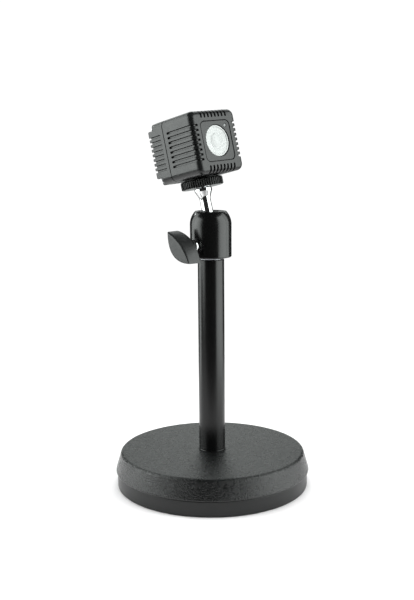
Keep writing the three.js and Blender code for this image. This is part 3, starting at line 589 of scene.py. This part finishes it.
def groove(half, corner, face, side_end, reach, width, depth, across, side, mirrored):
    """A round-ended slot that runs along one side of the case and wraps over its front edge.

    It follows the side from side_end, the rounded edge of radius corner, and the face as far as reach.
    Its floor is filleted and its lips flare out where they meet the surface.
    """
    radius = width / 2
    bend = face - corner
    side_run = bend - side_end
    turn_run = corner * QUARTER
    face_run = half - corner - reach

    def at(along, off):
        if along < side_run:
            return half + off, side_end + along
        if along < side_run + turn_run:
            angle = (along - side_run) / corner
            swing = corner + off
            return half - corner + swing * math.cos(angle), bend + swing * math.sin(angle)
        return half - corner - (along - side_run - turn_run), face + off

    total = side_run + turn_run + face_run
    arc_stops = [side_run + turn_run * i / 10 for i in range(11)]
    middle = [s for s in [(radius + side_run) / 2, *arc_stops, total - radius - 0.01]
              if radius < s < total - radius]
    ends = quarter_turns(EDGE_STEPS)
    fillet, flare = 0.3, 0.14
    rows = [(-depth, fillet)]
    rows += [(-depth + fillet * (1 - math.cos(t)), fillet * (1 - math.sin(t))) for t in (0.5, 1.0, QUARTER)]
    rows += [(-flare, 0), (-flare * 0.4, -flare * 0.25), (0.05, -flare), (1.0, -flare - 0.3)]
    turn = Matrix.Rotation(side * QUARTER, 4, "Z")
    if mirrored:
        turn = Matrix.Scale(-1, 4, Vector((0, 0, 1))) @ turn
    bm = bmesh.new()
    loops = []
    for off, inset in rows:
        r = radius - inset
        stations = [(radius - r * math.cos(t), r * math.sin(t)) for t in ends]
        stations += [(s, r) for s in middle]
        stations += [(total - radius + r * math.sin(t), r * math.cos(t)) for t in ends]
        left, right = [], []
        for along, wide in stations:
            x, z = at(along, off)
            left.append(bm.verts.new(CASE @ turn @ Vector((x, across + wide, z))))
            if wide > ON_AXIS:
                right.append(bm.verts.new(CASE @ turn @ Vector((x, across - wide, z))))
            else:
                right.append(left[-1])
        loops.append((left, right))

    def face_of(*corners):
        unique = list(dict.fromkeys(corners))
        if len(unique) > 2:
            bm.faces.new(unique)

    for (left, right), (next_left, next_right) in zip(loops, loops[1:]):
        for i in range(len(left) - 1):
            face_of(left[i], left[i + 1], next_left[i + 1], next_left[i])
            face_of(right[i + 1], right[i], next_right[i], next_right[i + 1])
    for left, right in (loops[0], loops[-1]):
        for i in range(len(left) - 1):
            face_of(left[i], left[i + 1], right[i + 1], right[i])
    bmesh.ops.recalc_face_normals(bm, faces=bm.faces)
    return bm


def grooves(half, corner, face, side_end, reach, mirrored=False):
    count, pitch, width, depth = 8, 2.82, 1.25, 1.15
    rows = [(i - (count - 1) / 2) * pitch for i in range(count)]
    return [
        groove(half, corner, face, side_end, reach, width, depth, across, side, mirrored)
        for side in range(4) for across in rows
    ]


def screw_places():
    """Places on the axes of the four case screws."""
    corners = ((1, 1), (-1, 1), (-1, -1), (1, -1))
    return [shifted(CASE, SCREW_OFFSET * x, SCREW_OFFSET * y) for x, y in corners]


def build_case():
    low, high = span("light_body", CASE)
    half, front, back = high.x, high.z, low.z
    corner, front_round, chamfer = 4.0, 3.5, 0.15

    def square(inset):
        return rounded_square(half - inset, corner - inset)

    levels = [(back, chamfer), (back + chamfer, 0)] + edge_levels(front, front_round, -1)[::-1]
    body = case_block(levels, square)
    cavity = prism(octagon(CAVITY_HALF, CAVITY_CORNER), back - 1, front - 3.5, CASE)
    case_middle = shifted(HEAD, z=CASE_HEIGHT)
    boss = lathe([(0, -17), (6, -17), (6, -11), (0, -11)], case_middle, 64, closed=False)
    cavity = cut(cavity, boss)
    recess_half, recess_round, floor = span("front_panel", CASE)[1].x + 0.3, 3.3, front - 1.8
    recess = case_block(
        [(floor, 0), (front - 0.22, 0), (front - 0.1, -0.06), (front + 0.02, -0.24), (front + 1, -1)],
        lambda inset: rounded_square(recess_half - inset, recess_round - inset))
    lens_hole = lathe([(0, front - 8), (8.6, front - 8), (8.6, floor + 0.5), (0, floor + 0.5)], CASE, 96,
                      closed=False)
    insert_hole = lathe([(0, -19.3), (4.45, -19.3), (4.15, -18), (4.15, -11.35), (0, -11.35)],
                        case_middle, 64, closed=False)
    tapped_hole = [(0, back - 1), (SCREW_BORE, back - 1), (SCREW_BORE, 4), (0, 4)]
    tapped = [lathe(tapped_hole, where, 24, closed=False) for where in screw_places()]
    body = cut(body, cavity)
    body = cut(body, recess, *tapped, *grooves(half, front_round, front, -2.2, 13.8))
    body = cut(body, lens_hole, insert_hole)
    add_piece("light_body_piece", body, "light", "anodised", ["light_body"])


def build_rear_cap():
    low, high = span("rear_cap", CASE)
    half, rear, parting = high.x, low.z, high.z
    corner, column_rear, column_round, rear_round, notch = 4.0, -16.6, 3.8, 2.0, 14.2
    chamfer = 0.15

    def square(inset):
        return rounded_square(half - inset, corner - inset)

    levels = [(parting, chamfer), (parting - chamfer, 0)] + edge_levels(column_rear, column_round, 1)[::-1]
    columns = case_block(levels, square)

    def cross(inset):
        arm, soft = half - inset, 0.45
        wall = notch - min(inset, 0.35)
        quarter = [(arm, -wall, soft), (arm, wall, soft), (wall, wall, soft)]
        path = []
        for turn in range(4):
            c, s = round(math.cos(turn * QUARTER)), round(math.sin(turn * QUARTER))
            path += [(x * c - y * s, x * s + y * c, r) for x, y, r in quarter]
        return rounded(path, steps=4)

    arms = case_block([(parting - 4, 0.02)] + edge_levels(rear, rear_round, 1)[::-1], cross)
    cap = combined(columns, arms, "UNION")
    cavity = prism(octagon(CAVITY_HALF, CAVITY_CORNER), rear + 3, parting + 1, CASE)
    counterbore, seat = 1.85, column_rear + 2
    bore = [
        (0, rear - 1), (2.6, rear - 1), (2.05, column_rear - 0.02), (counterbore, column_rear + 0.2),
        (counterbore, seat), (SCREW_BORE, seat), (SCREW_BORE, parting + 1), (0, parting + 1),
    ]
    bores = [lathe(bore, where, 32, closed=False) for where in screw_places()]
    button_hole = lathe([(0, rear - 1), (5.8, rear - 1), (5.0, rear - 0.02), (4.75, rear + 0.25),
                         (4.75, rear + 4), (0, rear + 4)], shifted(CASE, y=6.5), 64, closed=False)
    port_hole = lathe([(0, rear - 1), (7, rear - 1), (6.4, rear - 0.02), (6.2, rear + 0.2), (6.2, -17.8),
                       (4.9, -17.8), (4.9, rear + 4), (0, rear + 4)], shifted(CASE, y=-6), 64, closed=False)
    cap = cut(cap, cavity, *bores, *grooves(half, rear_round, -rear, 7.8, 14.4, mirrored=True))
    cap = cut(cap, button_hole, port_hole)
    add_piece("rear_cap_piece", cap, "light", "anodised", ["rear_cap"])


def build_case_screws():
    for number in range(1, 5):
        node = f"case_screw_{number}"
        low, high = span(node, CASE)
        where = shifted(CASE, (low.x + high.x) / 2, (low.y + high.y) / 2)
        head, shank, seat = 1.6, 1.1, low.z + 1.7
        profile = rounded([
            (0, low.z), (head, low.z, 0.35), (head, seat, 0.1), (shank, seat), (shank, high.z, 0.3),
            (0, high.z),
        ])
        socket = prism(polygon(0.8, 6), low.z - 1, low.z + 1, where)
        screw = cut(lathe(profile, where, 48, closed=False), socket)
        add_piece(f"case_screw_piece_{number}", screw, "light", "zinc", [node])


def build_front():
    low, high = span("front_panel", CASE)
    half, face, corner = high.x, high.z, 3
    levels = [(low.z, 0.1), (low.z + 0.1, 0), (face - 0.25, 0), (face - 0.12, 0.05), (face - 0.03, 0.14),
              (face, 0.3)]
    panel = case_block(levels, lambda inset: rounded_square(half - inset, corner - inset))
    sensor_low, sensor_high = span("sensor_window", CASE)
    at_sensor = shifted(CASE, (sensor_low.x + sensor_high.x) / 2, (sensor_low.y + sensor_high.y) / 2)
    holes = [
        lathe([(0, low.z - 1), (9.3, low.z - 1), (9.3, face - 0.3), (9.6, face + 0.02), (10.6, face + 1),
               (0, face + 1)], CASE, 128, closed=False),
        lathe([(0, low.z - 1), (1.15, low.z - 1), (1.15, face - 0.1), (1.4, face + 0.1), (0, face + 0.1)],
              at_sensor, 48, closed=False),
    ]
    add_piece("front_panel_piece", cut(panel, *holes), "light", "anodised", ["front_panel"])

    dome, dome_edge = 1.75, 0.92
    sensor = rounded([(0, sensor_low.z), (1, sensor_low.z, 0.1), (1, sensor_high.z - 0.1, 0.3)], steps=4)[:-5]
    sensor += arc(0, sensor_high.z - dome, dome, math.acos(dome_edge / dome), QUARTER, 6)
    add_piece("sensor_window_piece", lathe(sensor, at_sensor, 48, closed=False), "light", "sensor_plastic",
              ["sensor_window"])

    low, high = span("lens", CASE)
    rim, crown, facets, per_facet = high.x, high.z, 30, 8
    dish_inner, dish_outer, ripple_depth = 4.5, 7.7, 0.07
    dome, dome_edge = 10.52, 3.0
    profile = rounded([
        (4.0, 12.9), (4.4, 12.9, 0.1), (7.5, 18.4), (rim, 18.4, 0.1), (rim, crown, 0.35), (8.3, crown, 0.25),
        (7.9, crown - 0.35, 0.2), (4.7, crown - 0.9, 0.6), (3.7, crown - 0.55, 0.5), (3.3, crown - 0.45),
    ], steps=4)
    profile += arc(0, crown - 0.45 - 10, dome, math.acos(dome_edge / dome), QUARTER, 5)[:-1]
    segments = facets * per_facet
    loops = []
    for radius, z in profile:
        loop = []
        for k in range(segments):
            angle = math.tau * k / segments
            on_dish = dish_inner < radius < dish_outer and z > crown - 2
            ripple = ripple_depth * math.cos(angle * facets) if on_dish else 0
            loop.append((radius * math.cos(angle), radius * math.sin(angle), z + ripple))
        loops.append(loop)
    pocket = lathe([(0, 12), (3.8, 12), (3.8, 14.1), (2.5, 14.5), (0, 14.6)], CASE, 64, closed=False)
    add_piece("lens_piece", cut(loft(loops, CASE), pocket), "light", "frosted_lens", ["lens"])


def build_controls():
    low, high = span("power_button", CASE)
    where = shifted(CASE, y=(low.y + high.y) / 2)
    button = rounded([
        (0, low.z + 0.25), (2.6, low.z + 0.2, 0.6), (3.1, low.z, 0.2), (4, low.z, 0.4), (4, -16, 0.1),
        (5.5, -16, 0.2), (5.5, high.z, 0.2), (0, high.z),
    ])
    add_piece("power_button_piece", lathe(button, where, 96, closed=False), "button_body", "knob_plastic",
              ["power_button"])

    low, high = span("port_cap", CASE)
    where = shifted(CASE, y=(low.y + high.y) / 2)
    cap = rounded([
        (0, low.z), (5.9, low.z, 0.5), (5.9, -18.2, 0.1), (4.6, -18.2), (4.6, high.z, 0.4), (0, high.z),
    ])
    slot_levels = [(low.z + 0.6, 0.15), (low.z + 0.45, 0), (low.z + 0.12, 0), (low.z - 0.02, -0.14),
                   (low.z - 1, -0.6)]
    reach, half_width = 8, 0.55
    slot_loops = []
    for z, inset in slot_levels:
        wide = half_width - inset
        slot_loops.append([(-reach, -wide, z), (reach, -wide, z), (reach, wide, z), (-reach, wide, z)])
    slot = loft(slot_loops, where)
    add_piece("port_cap_piece", cut(lathe(cap, where, 96, closed=False), slot), "cap_body", "anodised",
              ["port_cap"])


# ---------------------------------------------------------------- kept CAD nodes

def dress_kept_nodes():
    """Inner solids keep their CAD shape and take the material of their slot."""
    slots = {part["node"]: part["material_slot"] for part in frame["record"]["subparts"]}
    replaced = {
        "base_casting", "isolation_ring", "base_washer", "base_lock_washer", "pole_bolt", "pole_foot_washer",
        "pole_tube", "pole_top_insert", "ball_housing", "knob_collar", "ball_stem", "lock_wheel", "wheel_pad",
        "clamp_knob", "light_body", "rear_cap", "case_screw_1", "case_screw_2", "case_screw_3",
        "case_screw_4", "front_panel", "sensor_window", "lens", "power_button", "port_cap",
    }
    for name, obj in frame["nodes"].items():
        if name in replaced:
            continue
        if not obj.material_slots:
            obj.data.materials.append(None)
        for material_slot in obj.material_slots:
            material_slot.material = MATERIALS[slots[name]]


# ---------------------------------------------------------------- studio

TO_CAMERA = Vector((-0.698, -0.716, 0)).normalized()
TO_RIGHT = Vector((-TO_CAMERA.y, TO_CAMERA.x, 0))
LIGHT_COLOUR = (0.95, 1.0, 0.98)


def around(degrees):
    """A level direction, turned to the right from the direction of the camera."""
    a = math.radians(degrees)
    return TO_CAMERA * math.cos(a) + TO_RIGHT * math.sin(a)


def add_area_light(name, location, aim, width, height, radiance, glossy=True):
    light = bpy.data.lights.new(name, "AREA")
    light.shape = "RECTANGLE"
    light.size = width
    light.size_y = height
    light.energy = radiance * math.pi * width * height
    light.color = LIGHT_COLOUR
    obj = bpy.data.objects.new(name, light)
    obj.location = location
    obj.rotation_euler = (Vector(aim) - Vector(location)).to_track_quat("-Z", "Y").to_euler()
    obj.visible_camera = False
    obj.visible_glossy = glossy
    bpy.context.scene.collection.objects.link(obj)


def add_camera():
    location, facing = (-0.3982, -0.4081, 0.2106), math.radians(-44.3)
    pitch, yaw, roll = 0.16596, -0.0045385, -0.0076359
    heading = facing - yaw
    camera = bpy.data.cameras.new("camera")
    camera.lens = 57.27
    camera.sensor_width = 36
    camera.clip_start = 0.01
    obj = bpy.data.objects.new("camera", camera)
    obj.matrix_world = (
        Matrix.Translation(location) @ Matrix.Rotation(heading, 4, "Z")
        @ Matrix.Rotation(QUARTER - pitch, 4, "X") @ Matrix.Rotation(roll, 4, "Z"))
    bpy.context.scene.collection.objects.link(obj)
    bpy.context.scene.camera = obj


def add_floor():
    bpy.ops.mesh.primitive_circle_add(vertices=96, radius=0.6, fill_type="NGON", location=(0, 0, 0))
    floor = bpy.context.object
    floor.name = "floor"
    material = bpy.data.materials.new("floor")
    material.use_nodes = True
    nodes, links = material.node_tree.nodes, material.node_tree.links
    nodes.clear()
    output = nodes.new("ShaderNodeOutputMaterial")
    mix = nodes.new("ShaderNodeMixShader")
    white = nodes.new("ShaderNodeBsdfDiffuse")
    white.inputs["Color"].default_value = (0.97, 0.925, 0.945, 1)
    clear = nodes.new("ShaderNodeBsdfTransparent")
    coordinates = nodes.new("ShaderNodeTexCoord").outputs["Object"]
    total = nodes.new("ShaderNodeMath")
    total.operation = "MAXIMUM"
    # The floor fades out toward the camera and away from the stand, over these distances in metres.
    fades = (("DOT_PRODUCT", 0.12, 0.26), ("LENGTH", 0.07, 0.5))
    for i, (operation, start, end) in enumerate(fades):
        distance = nodes.new("ShaderNodeVectorMath")
        distance.operation = operation
        links.new(coordinates, distance.inputs[0])
        distance.inputs[1].default_value = TO_CAMERA
        fade = nodes.new("ShaderNodeMapRange")
        fade.interpolation_type = "SMOOTHSTEP"
        fade.inputs["From Min"].default_value = start
        fade.inputs["From Max"].default_value = end
        links.new(distance.outputs["Value"], fade.inputs["Value"])
        links.new(fade.outputs["Result"], total.inputs[i])
    links.new(total.outputs["Value"], mix.inputs["Fac"])
    links.new(white.outputs["BSDF"], mix.inputs[1])
    links.new(clear.outputs["BSDF"], mix.inputs[2])
    links.new(mix.outputs["Shader"], output.inputs["Surface"])
    floor.data.materials.append(material)


def add_world():
    world = bpy.data.worlds.new("studio")
    world.use_nodes = True
    nodes, links = world.node_tree.nodes, world.node_tree.links
    background = nodes["Background"]
    ray = nodes.new("ShaderNodeLightPath")
    level = nodes.new("ShaderNodeMapRange")
    fill, backdrop = 0.022, 1.05
    level.inputs["To Min"].default_value = fill
    level.inputs["To Max"].default_value = backdrop
    links.new(ray.outputs["Is Camera Ray"], level.inputs["Value"])
    links.new(level.outputs["Result"], background.inputs["Strength"])
    background.inputs["Color"].default_value = (1, 1, 1, 1)
    bpy.context.scene.world = world


def light_studio():
    middle = Vector((0, 0, 0.16))
    reach = 0.6
    # Name, direction and width in degrees, lower and upper end in metres, radiance.
    strips = (
        ("right_inner", 48, 10, -0.1, 0.75, 2.6), ("right_main", 72, 38, -0.1, 0.75, 3.8),
        ("right_outer", 103, 24, -0.1, 0.75, 2.6), ("left_inner", -57, 10, 0.02, 0.55, 1.8),
        ("left_middle", -69, 14, 0.02, 0.55, 3.6), ("left_main", -88, 24, 0.06, 0.55, 4.4),
        ("left_outer", -112, 24, -0.1, 0.75, 2.8),
    )
    for name, degrees, degrees_wide, low, high, radiance in strips:
        spot = around(degrees) * reach
        spot.z = (low + high) / 2
        width = 2 * reach * math.tan(math.radians(degrees_wide / 2))
        add_area_light(name, spot, Vector((0, 0, spot.z)), width, high - low, radiance)
    # Name, height, height aimed at, width and height of the panel in metres, radiance.
    panels = (
        ("back_panel", 0.3, 0.3, 0.3, 0.5, 0.6), ("back_low", 0.02, 0.02, 0.5, 0.16, 0.8),
        ("back_top", 0.62, 0.1, 1.1, 0.5, 1.25),
    )
    for name, height, aim, width, tall, radiance in panels:
        spot = around(180) * reach
        spot.z = height
        add_area_light(name, spot, Vector((0, 0, aim)), width, tall, radiance)
    toward_kicker = TO_RIGHT * -0.653 - TO_CAMERA * 0.623 + Vector((0, 0, 0.43))
    add_area_light("kicker", middle + toward_kicker * 0.8, middle, 0.05, 0.05, 40)
    add_area_light("overhead", Vector((0, 0, 1.1)), Vector((0, 0, 0)), 1.0, 1.0, 3.1, glossy=False)


# ---------------------------------------------------------------- the whole

add_camera()
add_world()
add_floor()
light_studio()
bpy.context.scene.view_settings.view_transform = "Standard"

build_base()
build_pole()
build_housing()
build_stem()
build_wheel()
build_knob()
build_case()
build_rear_cap()
build_case_screws()
build_front()
build_controls()
dress_kept_nodes()
